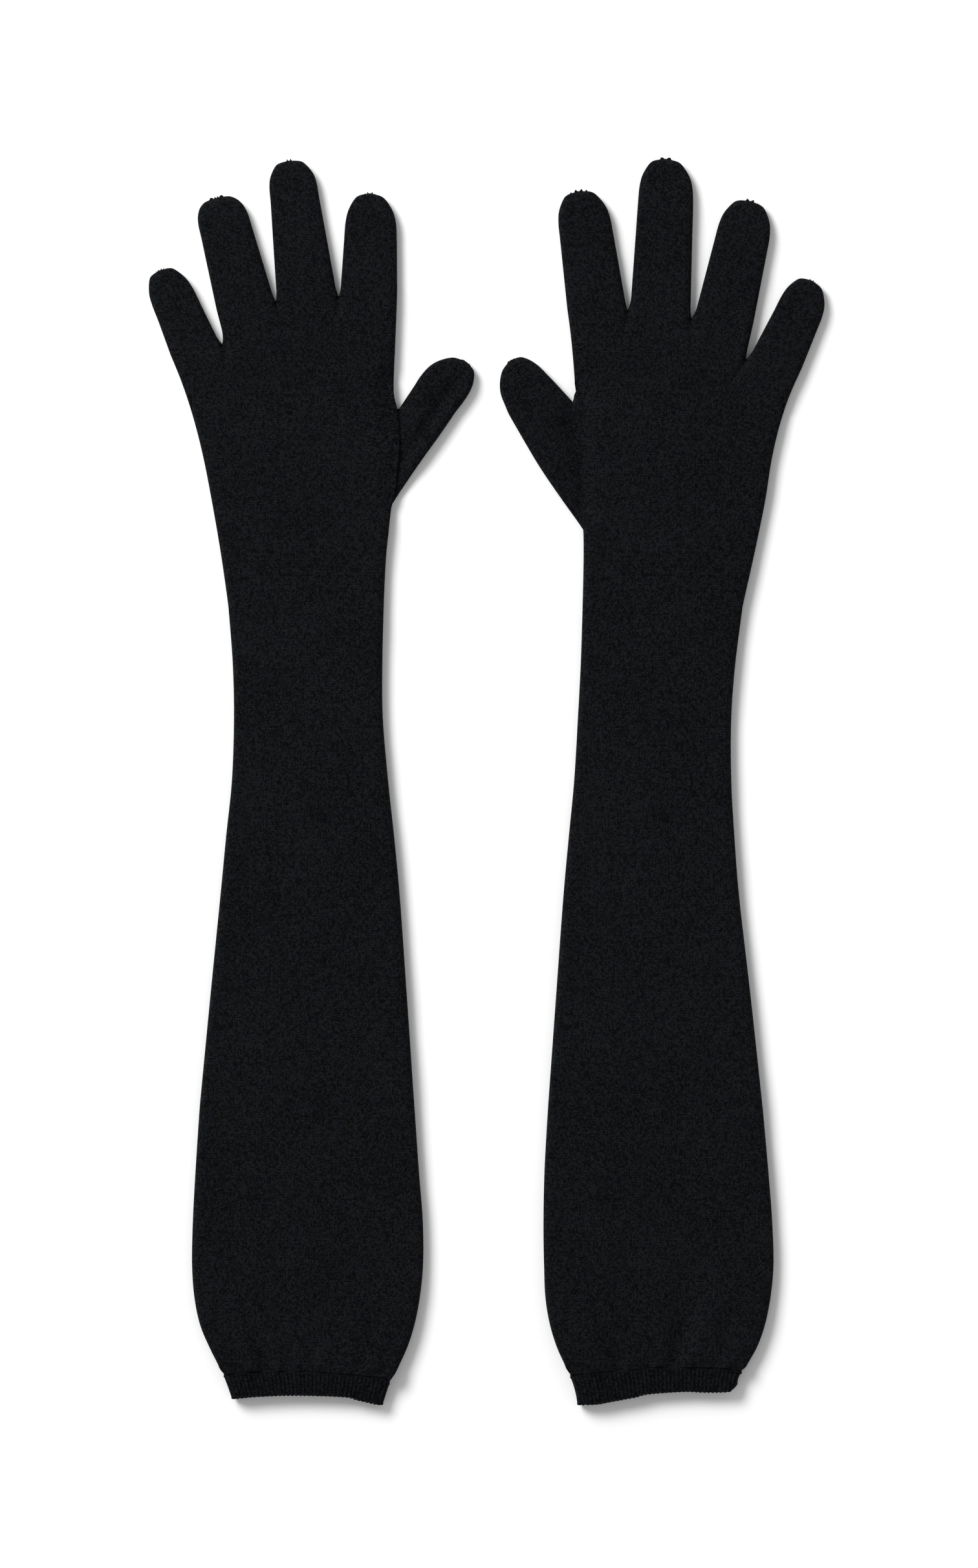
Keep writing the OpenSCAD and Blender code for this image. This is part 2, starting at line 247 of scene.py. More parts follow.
def finger_outline(side, finger):
    """A finger's frame and its sides, as a curve of (s, left, right) from the knuckle to the tip."""
    origin, across, along = hinge(f"{side}_{finger}_knuckle")
    points = cad_points(*[f"{side}_{finger}_{part}" for part in ("lower", "upper", "tip")])
    rows = stations(points, origin, across, along)
    return {"origin": origin, "across": across, "along": along, "sides": curve_through(closed_tip(rows)),
            "height": top_of(f"{side}_{finger}_upper") - SLACK,
            "fold": float((hinge(f"{side}_{finger}_middle")[0] - origin) @ along)}


def at(f, s, c):
    """Points of a finger's frame in the plane."""
    return f["origin"] + np.multiply.outer(s, f["along"]) + np.multiply.outer(c, f["across"])


def side_at(f, s, k):
    """How far a finger's left (k = 1) or right (k = 2) side is from its axis."""
    sides = f["sides"]
    grow = np.maximum.accumulate(sides[:, 0])
    return np.interp(s, grow, sides[:, k])


def crotches(side):
    """The three points where neighbouring fingers part, from left to right."""
    p = cad_points(f"{side}_finger_forks")
    groups = np.split(np.argsort(p[:, 0]), np.nonzero(np.diff(np.sort(p[:, 0])) > 8)[0] + 1)
    return [np.array([p[g, 0].mean(), p[g, 1].max() + 0.8]) for g in groups]


def glove(side):
    """Everything about one glove's outline that its pieces share."""
    names = FINGERS[::-1] if side == "left" else FINGERS
    fingers = [finger_outline(side, n) for n in names]
    forks = crotches(side)
    for k, f in enumerate(fingers):
        f["name"] = names[k]
        f["roots"] = [forks[k - 1] if k else None, forks[k] if k < 3 else None]
        known = [float((r - f["origin"]) @ f["along"]) for r in f["roots"] if r is not None]
        for m in (0, 1):
            if f["roots"][m] is None:
                f["roots"][m] = at(f, known[0], side_at(f, known[0], m + 1))
        f["starts"] = [float((r - f["origin"]) @ f["along"]) for r in f["roots"]]
        # the first stretch of each side runs from the crotch to the finger's own side
        for m in (0, 1):
            if (m == 0 and k) or (m == 1 and k < 3):
                c = float((f["roots"][m] - f["origin"]) @ f["across"])
                f["sides"] = with_root(f["sides"], f["starts"][m], c, m + 1)
    sleeve = cad_points(f"{side}_upper_arm_sleeve", f"{side}_forearm_sleeve", f"{side}_palm")
    up, right = np.array([0.0, 1]), np.array([1.0, 0])
    rows = stations(sleeve, np.zeros(2), right, up)
    width = rows[:, 2] - rows[:, 1]
    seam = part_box(f"{side}_gather_seam")[1].y / MM
    rows = rows[(rows[:, 0] > seam + 1) & (width > 0.8 * np.median(width))]
    return {"side": side, "fingers": fingers, "forks": forks, "rows": curve_through(rows),
            "seam": corner_line(f"{side}_gather_seam", True),
            "rib": corner_line(f"{side}_cuff_rib", True),
            "rib_end": corner_line(f"{side}_cuff_rib", False),
            "edge": corner_line(f"{side}_cuff_edge", False),
            "wrist": hinge(f"{side}_wrist")[0][1], "elbow": hinge(f"{side}_elbow")[0][1],
            "tops": [top_of(f"{side}_{n}") - SLACK
                     for n in ("gather_seam", "forearm_sleeve", "palm")]}


def with_root(sides, start, c, k):
    """A finger's side curve, led from the crotch into the finger's own side."""
    reach = 7.0
    out = sides.copy()
    s = out[:, 0]
    own = np.interp(start + reach, np.maximum.accumulate(s), sides[:, k])

    def led(s):
        return c + (own - c) * (1 - (1 - np.clip((s - start) / reach, 0, 1)) ** 2.2)

    below = s < start + reach
    out[below, k] = led(s)[below]
    if s[0] > start:
        extra = np.repeat(out[:1], 14, 0)
        extra[:, 0] = np.linspace(start, s[0], len(extra), endpoint=False)
        extra[:, k] = led(extra[:, 0])
        out = np.vstack([extra, out])
    return out


def corner_line(node, upper):
    """The two ends of a cuff ring's upper or lower edge: a left and a right point."""
    low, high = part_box(node)
    p = cad_points(node)
    p = p[np.abs(p[:, 2] - (low.z + high.z) / 2 / MM) < 0.1, :2]
    middle = (low.x + high.x) / 2 / MM
    ends = []
    for sign in (-1, 1):
        side = p[(p[:, 0] - middle) * sign > 0]
        y = side[:, 1].max() if upper else side[:, 1].min()
        near = side[np.abs(side[:, 1] - y) < 0.4]
        ends.append(near[np.argmax(near[:, 0] * sign)])
    return np.array(ends)


def sleeve_sides(g, y):
    """Left and right x of the sleeve and the hand at a height y."""
    rows = g["rows"]
    grow = np.maximum.accumulate(rows[:, 0])
    return np.interp(y, grow, rows[:, 1]), np.interp(y, grow, rows[:, 2])


# ---------------------------------------------------------------- grids of points

def finger_shares():
    """Columns across a finger, from -1 at its left side to 1, for a finger 12.5 mm wide each way."""
    half = 12.5
    edge = np.array(EDGE_STEPS) / half
    mid = np.linspace(edge[-1], 2 - edge[-1], MID_STEPS + 2)[1:-1]
    return np.concatenate([edge, mid, 2 - edge[::-1]]) - 1


SHARES = finger_shares()
COLS = len(SHARES)


def hand_columns(left, right, weights):
    """x of every column across the hand, dense at the two outer edges only."""
    edge = np.array(EDGE_STEPS)
    width = right - left
    bounds = np.concatenate([[0], np.cumsum(weights) / sum(weights)]) * width
    n = COLS - len(edge) + 1
    cols = [edge, np.linspace(edge[-1], bounds[1], n)[1:],
            *[np.linspace(bounds[k], bounds[k + 1], COLS)[1:] for k in (1, 2)],
            np.linspace(bounds[3], width - edge[-1], n)[1:-1], width - edge[::-1]]
    return left + np.concatenate(cols)


def weights_of(g):
    return [float(side_at(f, 12.0, 2) - side_at(f, 12.0, 1)) for f in g["fingers"]]


def straight_rows(g, ys):
    """Rows straight across the sleeve or the hand: places and knit coordinates."""
    weights = weights_of(g)
    xy, knit = [], []
    for y in ys:
        left, right = sleeve_sides(g, y)
        x = hand_columns(left, right, weights)
        xy.append(np.stack([x, np.full_like(x, y)], 1))
        knit.append(np.stack([x - (left + right) / 2, np.full_like(x, y)], 1))
    return np.array(xy), np.array(knit)


def crotch_row(g):
    """The row of points where the hand ends and the fingers start, with each column's direction."""
    fingers = g["fingers"]
    points, turns, across = [], [], []
    headings = [math.atan2(f["along"][0], f["along"][1]) for f in fingers]
    for k, f in enumerate(fingers):
        share = (SHARES + 1) / 2
        row = f["roots"][0] + (f["roots"][1] - f["roots"][0]) * share[:, None]
        c = (row - f["origin"]) @ f["across"]
        keep = slice(0 if k == 0 else 1, None)
        # a column near a crotch turns half way to the neighbour's direction
        before = headings[k] if k == 0 else (headings[k - 1] + headings[k]) / 2
        after = headings[k] if k == 3 else (headings[k + 1] + headings[k]) / 2
        turns.append(np.interp(share, [0, 0.5, 1], [before, headings[k], after])[keep])
        points.append(row[keep])
        across.append(c[keep])
    turns = np.concatenate(turns)
    return np.vstack(points), np.stack([np.sin(turns), np.cos(turns)], 1), across


def fan_rows(g, y, n):
    """Rows from a straight row at y up to the crotches, the wales turning into the fingers."""
    low, low_knit = straight_rows(g, [y])
    a, uv = low[0], low_knit[0]
    b, head_b, across = crotch_row(g)
    l0, r0 = sleeve_sides(g, y - 1)
    l1, r1 = sleeve_sides(g, y + 1)
    lean = np.interp(a[:, 0], [a[0, 0], a[-1, 0]], [(l1 - l0) / 2, (r1 - r0) / 2])
    head_a = np.stack([lean, np.ones_like(lean)], 1)
    head_a /= np.linalg.norm(head_a, axis=1)[:, None]
    reach = np.linalg.norm(b - a, axis=1)[:, None]
    # knit coordinates at the crotches: across each finger, shifted to meet the hand's own
    end_u, k0 = [], 0
    for c in across:
        part = uv[k0:k0 + len(c), 0]
        end_u.append(c + (part.mean() - c.mean()))
        k0 += len(c)
    end_u = np.concatenate(end_u)
    xy, knit = [], []
    v = uv[:, 1].copy()
    for t in np.linspace(0, 1, n):
        h00, h10 = 2 * t**3 - 3 * t**2 + 1, t**3 - 2 * t**2 + t
        h01, h11 = -2 * t**3 + 3 * t**2, t**3 - t**2
        row = h00 * a + h10 * reach * head_a + h01 * b + h11 * reach * head_b
        if xy:
            v = v + np.linalg.norm(row - xy[-1], axis=1)
        xy.append(row)
        knit.append(np.stack([uv[:, 0] + (end_u - uv[:, 0]) * smoothstep(0, 1, t), v], 1))
    return np.array(xy), np.array(knit)


def finger_rows(f, start_knit):
    """Rows of a finger from the crotches, where they slant, to the tip, where they close to a point."""
    full = max(f["starts"]) + 6.0
    sides = f["sides"]
    tip = sides[-1][0]
    round_from = tip - 10.0
    n = int((full - min(f["starts"])) / ROW) + 1
    places = [[start + (full - start) * t for start in f["starts"]] for t in np.linspace(0, 1, n)]
    places += [[s, s] for s in np.linspace(full, round_from, int((round_from - full) / ROW) + 1)[1:]]
    rows = [(sl, side_at(f, sl, 1), sr, side_at(f, sr, 2)) for sl, sr in places]
    end = sides[np.maximum.accumulate(sides[:, 0]) > round_from + 0.4]
    rows += [(p[0], p[1], p[0], p[2]) for p in spaced(end, 26)]
    xy, knit = [], []
    share = ((SHARES + 1) / 2)[:, None]
    for sl, cl, sr, cr in rows:
        left, right = at(f, sl, cl), at(f, sr, cr)
        row = left + (right - left) * share
        c = (row - f["origin"]) @ f["across"]
        if not xy:
            v = start_knit[:, 1].copy()
            shift = (start_knit[:, 0] - c).mean()
        else:
            v = v + (row - xy[-1]) @ f["along"]
        xy.append(row)
        knit.append(np.stack([c + shift, v], 1))
    return np.array(xy), np.array(knit), np.array([(r[0] + r[2]) / 2 for r in rows])


# ---------------------------------------------------------------- heights

def outline_points(g):
    """Close points all along the outline of a glove without its thumb."""
    parts = []
    y = np.arange(-274.0, 178.0, 0.5)
    left, right = sleeve_sides(g, y)
    parts += [np.stack([left, y], 1), np.stack([right, y], 1)]
    fan, _ = fan_rows(g, g["wrist"] + FAN_START, 120)
    parts += [fan[:, 0], fan[:, -1]]
    for f in g["fingers"]:
        s = f["sides"][:, 0]
        for k in (1, 2):
            ok = s >= f["starts"][k - 1] - 0.01
            parts.append(at(f, s[ok], f["sides"][ok, k]))
    return np.vstack(parts)


def distance_to(points, outline):
    """Distance from each point of a grid to the outline, and 0 at its two side columns."""
    flat = points.reshape(-1, 2)
    out = np.empty(len(flat))
    for i in range(0, len(flat), 2000):
        d = flat[i:i + 2000, None] - outline[None]
        out[i:i + 2000] = np.sqrt((d ** 2).sum(2).min(1))
    d = out.reshape(points.shape[:-1])
    d[:, 0] = d[:, -1] = 0
    return d


def swell(d, reach=ROUND):
    """0 at an edge to 1 on the flat, with a round edge."""
    t = np.clip(d / reach, 0, 1)
    return (1 - (1 - t) ** 2.3) ** (1 / 2.3)


def relief(xy, seed):
    """Slow, shallow waves of a knit that lies loose, in millimetres."""
    x, y = xy[..., 0], xy[..., 1]
    z = np.zeros_like(x)
    for k, (angle, length, size) in enumerate(((15, 74, 0.16), (68, 47, 0.13), (112, 33, 0.1),
                                               (150, 58, 0.13), (40, 24, 0.06), (95, 19, 0.05))):
        a = math.radians(angle + 9 * seed)
        turn = (x * math.cos(a) + y * math.sin(a)) * 2 * math.pi / length
        z += size * np.sin(turn + 1.7 * k + 2.3 * seed)
    return z


# ---------------------------------------------------------------- meshes

def in_scene(name, data):
    o = bpy.data.objects.new(name, data)
    bpy.context.scene.collection.objects.link(o)
    return o


def make_object(name, verts, faces, uv, material):
    """A mesh object in metres, with knit coordinates in millimetres as its UV map."""
    mesh = bpy.data.meshes.new(name)
    mesh.from_pydata((np.asarray(verts) * MM).tolist(), [], faces)
    layer = mesh.uv_layers.new(name="knit")
    loops = np.zeros(len(mesh.loops), np.int32)
    mesh.loops.foreach_get("vertex_index", loops)
    layer.data.foreach_set("uv", np.asarray(uv, np.float32)[loops].ravel())
    mesh.polygons.foreach_set("use_smooth", [True] * len(mesh.polygons))
    mesh.update()
    mesh.materials.append(material)
    return in_scene(name, mesh)


def thicken(o, thickness=WALL):
    """Gives a skin its wall, inwards, and keeps the result as a plain mesh."""
    m = o.modifiers.new("wall", "SOLIDIFY")
    m.thickness = thickness * MM
    m.offset = -1
    m.material_offset_rim = 1
    o.data.materials.append(o.data.materials[0])
    deps = bpy.context.evaluated_depsgraph_get()
    mesh = bpy.data.meshes.new_from_object(o.evaluated_get(deps))
    for face in mesh.polygons:
        if face.material_index == 1:
            for loop in face.loop_indices:
                mesh.edges[mesh.loops[loop].edge_index].use_edge_sharp = True
            face.material_index = 0
    mesh.materials.pop()
    o.modifiers.clear()
    old = o.data
    o.data = mesh
    bpy.data.meshes.remove(old)
    mesh.name = o.name


def tube_grid(name, xy, top, bottom, knit, material, closed=False):
    """Two sheets that share their side columns. With closed, the last row is one point."""
    rows, cols = xy.shape[:2]
    verts, uv, index = [], [], {}

    def vertex(kind, r, j):
        edge = j in (0, cols - 1)
        key = ("tip",) if closed and r == rows - 1 else ("t" if edge else kind, r, j)
        if key not in index:
            z = top if key[0] != "b" else bottom
            index[key] = len(verts)
            verts.append((xy[r, j, 0], xy[r, j, 1], z[r, j]))
            uv.append(knit[r, j])
        return index[key]

    faces = []
    for kind in "tb":
        for r in range(rows - 1):
            for j in range(cols - 1):
                q = [vertex(kind, r, j), vertex(kind, r, j + 1),
                     vertex(kind, r + 1, j + 1), vertex(kind, r + 1, j)]
                q = [v for n, v in enumerate(q) if v != q[n - 1]]
                faces.append(q if kind == "t" else q[::-1])
    return make_object(name, verts, faces, uv, material)


def heights(g, xy, thickness, outline):
    """Heights of the upper and lower sheet of a flat tube, and its distance from the outline."""
    d = distance_to(xy, outline)
    e = swell(d)
    wave = relief(xy, SIDES.index(g["side"])) * e
    middle = thickness / 2
    return middle + (thickness - middle) * e + wave, GROUND + (middle - GROUND) * (1 - e), d


def hand_thickness(g, y):
    """The thickness of the sleeve and the hand along the glove."""
    bell, sleeve, hand = g["tops"]
    return np.interp(y, [-276, -240, g["elbow"], g["wrist"], g["wrist"] + 100],
                     [bell, sleeve, sleeve, hand, hand - 0.2])


def finish_piece(o, slot, *nodes):
    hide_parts(*nodes)


def folding_piece(name, node, grid, rows, wall, closed=False):
    """Some rows of a finger or thumb as one piece, with its wall."""
    xy, top, bottom, knit = (part[rows] for part in grid)
    o = tube_grid(name, xy, top, bottom, knit, MATERIALS["knit"], closed)
    thicken(o, wall)
    finish_piece(o, "knit", node)
    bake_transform(o)


# ---------------------------------------------------------------- materials

class Nodes:
    """Short ways to add nodes to a material."""

    def __init__(self, name):
        self.material = bpy.data.materials.new(name)
        self.material.use_nodes = True
        self.tree = self.material.node_tree
        self.shader = self.tree.nodes["Principled BSDF"]

    def put(self, socket, value):
        if isinstance(value, bpy.types.NodeSocket):
            self.tree.links.new(value, socket)
        elif value is not None:
            socket.default_value = value

    def add(self, kind, out=0, props=None, **inputs):
        node = self.tree.nodes.new("ShaderNode" + kind)
        for key, value in (props or {}).items():
            setattr(node, key, value)
        for key, value in inputs.items():
            self.put(node.inputs[key.replace("_", " ")], value)
        return node.outputs[out]

    def math(self, operation, a, b=None):
        node = self.tree.nodes.new("ShaderNodeMath")
        node.operation = operation
        self.put(node.inputs[0], a)
        self.put(node.inputs[1], b)
        return node.outputs[0]

    def times(self, a, b):
        return self.math("MULTIPLY", a, b)

    def plus(self, a, b):
        return self.math("ADD", a, b)

    def finish(self, **inputs):
        """Sets inputs of the shader."""
        for key, value in inputs.items():
            self.put(self.shader.inputs[key.replace("_", " ")], value)

    def mix(self, factor, a, b):
        node = self.tree.nodes.new("ShaderNodeMix")
        node.data_type = "RGBA"
        self.put(node.inputs["Factor"], factor)
        self.put(node.inputs[6], a)
        self.put(node.inputs[7], b)
        return node.outputs[2]

    def ramp(self, value, low, high):
        return self.add("MapRange", Value=value, From_Min=low, From_Max=high)


def knit_coordinates(n):
    """Knit coordinates in millimetres, a little uneven from stitch to stitch."""
    uv = n.add("UVMap", props={"uv_map": "knit"})
    uneven = n.add("TexNoise", out=1, Vector=uv, Scale=0.35, Detail=1.0)
    moved = n.add("VectorMath", props={"operation": "MULTIPLY_ADD"})
    node = moved.node
    n.put(node.inputs[0], uneven)
    node.inputs[1].default_value = (0.5, 0.5, 0)
    n.put(node.inputs[2], uv)
    return uv, moved


def stitches(n, where, wale, course, rise=0.6):
    """Stocking stitch: its height, and a vector that is the same all over one leg of a stitch."""
    split = n.add("SeparateXYZ", Vector=where).node
    across = n.math("DIVIDE", split.outputs[0], wale)
    along = n.math("DIVIDE", split.outputs[1], course)
    leg = n.math("ABSOLUTE", n.math("SUBTRACT", n.times(n.math("FRACT", across), 2.0), 1.0))
    slant = n.math("SUBTRACT", along, n.times(leg, rise))
    p = n.math("SUBTRACT", n.times(n.math("FRACT", slant), 2.0), 1.0)
    yarn = n.math("SUBTRACT", 1.0, n.times(p, p))
    q = n.math("SUBTRACT", n.times(leg, 2.0), 1.0)
    ends = n.math("SUBTRACT", 1.0, n.math("POWER", n.math("ABSOLUTE", q), 3.0))
    height = n.times(yarn, ends)
    cell = n.add("CombineXYZ", X=n.math("FLOOR", n.times(across, 2.0)), Y=n.math("FLOOR", slant))
    return height, cell


def tinted(n, colour, factor, gain):
    """A colour that is multiplied by a gain in some places."""
    times = n.add("VectorMath", Vector=colour, props={"operation": "MULTIPLY"})
    times.node.inputs[1].default_value = gain
    return n.mix(factor, colour, times)


def knit_material(name, dark, light, wale=WALE, course=COURSE, bump=0.3, grooves=0.0):
    """Fine wool knit: stitches, uneven dye from stitch to stitch, cloudy patches and light specks, with
    painted shade darkening the gaps between stitches and, for ribbing, the valleys between the ribs.
    """
    n = Nodes(name)
    uv, where = knit_coordinates(n)
    height, cell = stitches(n, where, wale, course)
    space = n.add("TexCoord", out=3)
    flat = {"noise_dimensions": "2D"}
    random = n.add("TexWhiteNoise", Vector=cell, props=flat)
    tuft = n.add("TexVoronoi", out=1, Vector=uv, Scale=1.55, props={"voronoi_dimensions": "2D"})
    tint = n.add("SeparateXYZ", Vector=tuft).node
    fibre = n.add("TexNoise", Vector=uv, Scale=1.8, Detail=3.0, Roughness=0.8)
    cloud = n.add("TexNoise", Vector=space, Scale=24.0, Detail=3.0, Roughness=0.5)
    tone = n.times(n.math("POWER", random, 1.8), 0.34)
    # painted shade: each yarn is lighter along its crown and darker in the gaps between stitches, on top of
    # the bump
    tone = n.plus(tone, n.times(height, 0.12))
    tone = n.plus(tone, n.times(n.math("POWER", tint.outputs[2], 2.2), 1.1))
    tone = n.plus(tone, n.times(n.ramp(fibre, 0.38, 0.64), 0.26))
    tone = n.times(tone, n.add("MapRange", Value=cloud, From_Min=0.32, From_Max=0.68,
                                          To_Min=0.86, To_Max=1.1))
    # painted shade: the valleys between the ribs are darkened in the colour, following the cosine of the
    # rib columns
    if grooves:
        split = n.add("SeparateXYZ", Vector=uv).node
        wave = n.math("COSINE", n.times(split.outputs[0], 2 * math.pi / wale))
        tone = n.times(tone, n.add("MapRange", Value=wave, From_Min=-1.0, From_Max=0.4,
                                              To_Min=1 - grooves, To_Max=1.0))
    colour = n.mix(tone, dark, light)
    colour = tinted(n, colour, n.times(tint.outputs[0], 0.6), (0.72, 0.92, 1.45))
    colour = tinted(n, colour, n.times(tint.outputs[1], 0.7), (1.25, 1.16, 0.68))
    speck = n.add("TexNoise", Vector=uv, Scale=0.9, Detail=3.0, Roughness=0.9)
    colour = n.mix(n.times(n.ramp(speck, 0.70, 0.78), 0.4), colour, (0.05, 0.05, 0.045, 1))
    fuzz = n.plus(height, n.times(fibre, 0.7))
    n.finish(Base_Color=colour, Normal=n.add("Bump", Height=fuzz, Strength=1.0, Distance=bump * MM),
             Roughness=0.92, Specular_IOR_Level=0.03, Sheen_Weight=0.01, Sheen_Roughness=0.5,
             Sheen_Tint=(0.6, 0.63, 0.7, 1))
    return n.material


def thread_material(name, dark, light, twist=1.1):
    """Twisted thread, with its plies as slanting bands of painted shade."""
    n = Nodes(name)
    uv = n.add("UVMap", props={"uv_map": "knit"})
    split = n.add("SeparateXYZ", Vector=uv).node
    ply = n.math("SINE", n.times(n.plus(n.math("DIVIDE", split.outputs[1], twist),
                                                   split.outputs[0]), 2 * math.pi))
    fibre = n.add("TexNoise", Vector=uv, Scale=3.0, Detail=3.0)
    # painted shade: the colour is lighter on each ply and darker between plies; the fibre noise is real
    # unevenness of the yarn
    tone = n.plus(n.times(n.ramp(ply, -1.0, 1.0), 0.6), n.times(fibre, 0.4))
    n.finish(Base_Color=n.mix(tone, dark, light),
             Normal=n.add("Bump", Height=tone, Strength=1.0, Distance=0.12 * MM),
             Roughness=0.9, Specular_IOR_Level=0.05)
    return n.material


MATERIALS = {
    "knit": knit_material("black_fine_knit", (0.0001, 0.0001, 0.0002, 1), (0.0104, 0.0111, 0.0131, 1)),
    # the ribbing's colour carries painted shade in the valleys between its ribs
    "rib": knit_material("black_rib_knit", (0.0001, 0.0001, 0.0002, 1), (0.0096, 0.0102, 0.0120, 1),
                         wale=RIB_PITCH, course=1.0, bump=0.3, grooves=0.6),
    "seam": thread_material("black_seam_yarn", (0.0020, 0.0021, 0.0024, 1), (0.0100, 0.0103, 0.0115, 1)),
    "elastic": thread_material("covered_elastic", (0.004, 0.004, 0.004, 1), (0.02, 0.02, 0.021, 1), 0.7),
}


# ---------------------------------------------------------------- the pieces of one glove

def make_hand(g, outline, underside):
    """The hand from below the wrist up to the crotches. Gives back the knit coordinates there."""
    y0 = g["wrist"] - WRIST_REACH
    y1 = g["wrist"] + FAN_START
    low, low_knit = straight_rows(g, np.linspace(y0, y1, int((y1 - y0) / ROW) + 1))
    fan, fan_knit = fan_rows(g, y1, 46)
    xy = np.concatenate([low, fan[1:]])
    knit = np.concatenate([low_knit, fan_knit[1:]])
    thickness = hand_thickness(g, xy[..., 1])
    ends = np.array([f["height"] for f in g["fingers"]]).mean()
    near = smoothstep(0, 1, np.linspace(0, 1, len(fan)))[1:, None]
    thickness[len(low):] += (ends - thickness[len(low):]) * near
    top, bottom, _ = heights(g, xy, thickness, outline)
    top -= crotch_creases(g, xy)
    xy, top, bottom = underside(g, xy, top, bottom)
    o = tube_grid(f"{g['side']}_hand", xy, top, bottom, knit, MATERIALS["knit"])
    thicken(o)
    side = g["side"]
    finish_piece(o, "knit", f"{side}_palm", f"{side}_knuckles")
    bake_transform(o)
    return fan_knit[-1]


def fork_direction(g, k):
    """Half way between the directions of the two fingers beside a crotch."""
    along = g["fingers"][k]["along"] + g["fingers"][k + 1]["along"]
    return along / np.linalg.norm(along)


def crotch_creases(g, xy):
    """A short crease that runs down from each crotch, between the two fingers' directions."""
    z = np.zeros(xy.shape[:2])
    for k, p in enumerate(g["forks"]):
        along = fork_direction(g, k)
        down = -((xy - p) @ along)
        off = (xy - p) @ np.array([along[1], -along[0]])
        off = off - 0.02 * down ** 2 * (1 if k % 2 else -1)
        groove = bell(off / (1.2 + 0.08 * np.abs(down)))
        z += CREASE_DEPTH * groove * bell(down / CREASE_LENGTH) * (down > -1)
        z -= 0.5 * bell((off - 3.4) / 2.0) * bell((down - 9) / 6)
    return z


def make_finger(g, f, outline, start_knit):
    """The two pieces of a finger, which meet below its middle fold."""
    side, name = g["side"], f["name"]
    split = f["fold"] + MIDDLE_BEND[0] - 0.5
    tip = f["sides"][-1][0]
    lower, knit, s = finger_rows(f, start_knit)
    cut = int(np.argmin(np.abs(s - split)))
    thickness = np.full(lower.shape[:2], f["height"])
    u = np.clip((s - (tip - 16)) / 16, 0, 1)[:, None]
    thickness -= 0.9 * u ** 2
    top, bottom, _ = heights(g, lower, thickness, outline)
    top -= finger_folds(f, lower)
    parts = (("lower", slice(0, cut + 1), f"{side}_hand", f"{side}_{name}_lower", 0, KNUCKLE_BEND),
             ("upper", slice(cut, None), f"{side}_{name}_lower", f"{side}_{name}_upper",
              f["fold"], MIDDLE_BEND))
    for part, rows, a, b, fold, bend in parts:
        folding_piece(f"{side}_{name}_finger_{part}", f"{side}_{name}_{part}", (lower, top, bottom, knit),
                      rows, FINGER_WALL, part == "upper")


def finger_folds(f, xy):
    """Faint cross creases where the finger has been bent."""
    c = (xy - f["origin"]) @ f["across"]
    along = (xy - f["origin"]) @ f["along"]
    z = np.zeros(xy.shape[:2])
    for k, (place, slope) in enumerate(((f["fold"] - 2.5, 0.14), (f["fold"] + 3.5, -0.1))):
        z += 0.16 * bell((along - place - slope * c) / 1.3) * (1 - 0.4 * np.sin(c / 4 + k))
    return z


def make_sleeve(g, outline):
    """The sleeve from the gathering seam over the bell and the elbow to below the wrist."""
    side = g["side"]
    seam = g["seam"]
    y1 = g["wrist"] - WRIST_REACH
    n = int((y1 - SLEEVE_START) / 2.0) + 1
    xy, knit = straight_rows(g, np.linspace(SLEEVE_START, y1, n))
    share = (xy[0, :, 0] - xy[0, 0, 0]) / (xy[0, -1, 0] - xy[0, 0, 0])
    first = seam[0] + (seam[1] - seam[0]) * share[:, None]
    first[:, 1] += rise_of(SEAM_RISE[side])(share)
    lead = [first + (xy[0] - first) * t for t in np.linspace(0, 1, 6)[:-1]]
    for r, row in enumerate(lead):     # the sides swing in to the seam on a curve
        pull = (1 - r / 5) * (r / 5) * 1.6
        row[:, 0] += pull * (2 * share - 1)
    lead_knit = [np.stack([knit[0, :, 0], knit[0, :, 1] - (xy[0] - row)[:, 1]], 1) for row in lead]
    xy = np.concatenate([lead, xy])
    knit = np.concatenate([lead_knit, knit])
    thickness = hand_thickness(g, xy[..., 1])
    top, bottom, d = heights(g, xy, thickness, outline)
    top += gathers(g, xy) * swell(d)
    o = tube_grid(f"{side}_sleeve", xy, top, bottom, knit, MATERIALS["knit"])
    thicken(o)
    finish_piece(o, "knit", f"{side}_upper_arm_sleeve", f"{side}_forearm_sleeve")
    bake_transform(o)


def gathers(g, xy):
    seam = g["seam"]
    middle, half = seam.mean(0), (seam[1, 0] - seam[0, 0]) / 2
    share = (xy[..., 0] - seam[0, 0]) / (2 * half)
    rise = xy[..., 1] - middle[1] - share.clip(0, 1) * (1 - share.clip(0, 1)) * 12
    z = -0.7 * bell(rise / 2.6)
    for share, lean, length, depth, width in GATHERS[g["side"]]:
        off = xy[..., 0] - (middle[0] + share * half + lean * rise)
        fade = bell(rise / length) * smoothstep(-2, 5, rise)
        wide = width * (1 + rise.clip(0) / 30)
        for size, shift in ((-1, 0), (0.45, 2.1), (0.3, -2.1)):     # a groove between two ridges
            z += size * depth * fade * bell((off - shift * wide) / wide)
    # small puckers, one to every two or three ribs
    pucker = np.sin((xy[..., 0] - middle[0]) * 2 * math.pi / 4.6 + 0.8 * np.sin(xy[..., 0] / 9))
    return z + 0.16 * pucker * bell(rise / 4.0)


def rise_of(points):
    """A smooth curve through pairs of share and height, as a function of the share."""
    line = curve_through(points, 0.02)
    return lambda share: np.interp(share, line[:, 0], line[:, 1])


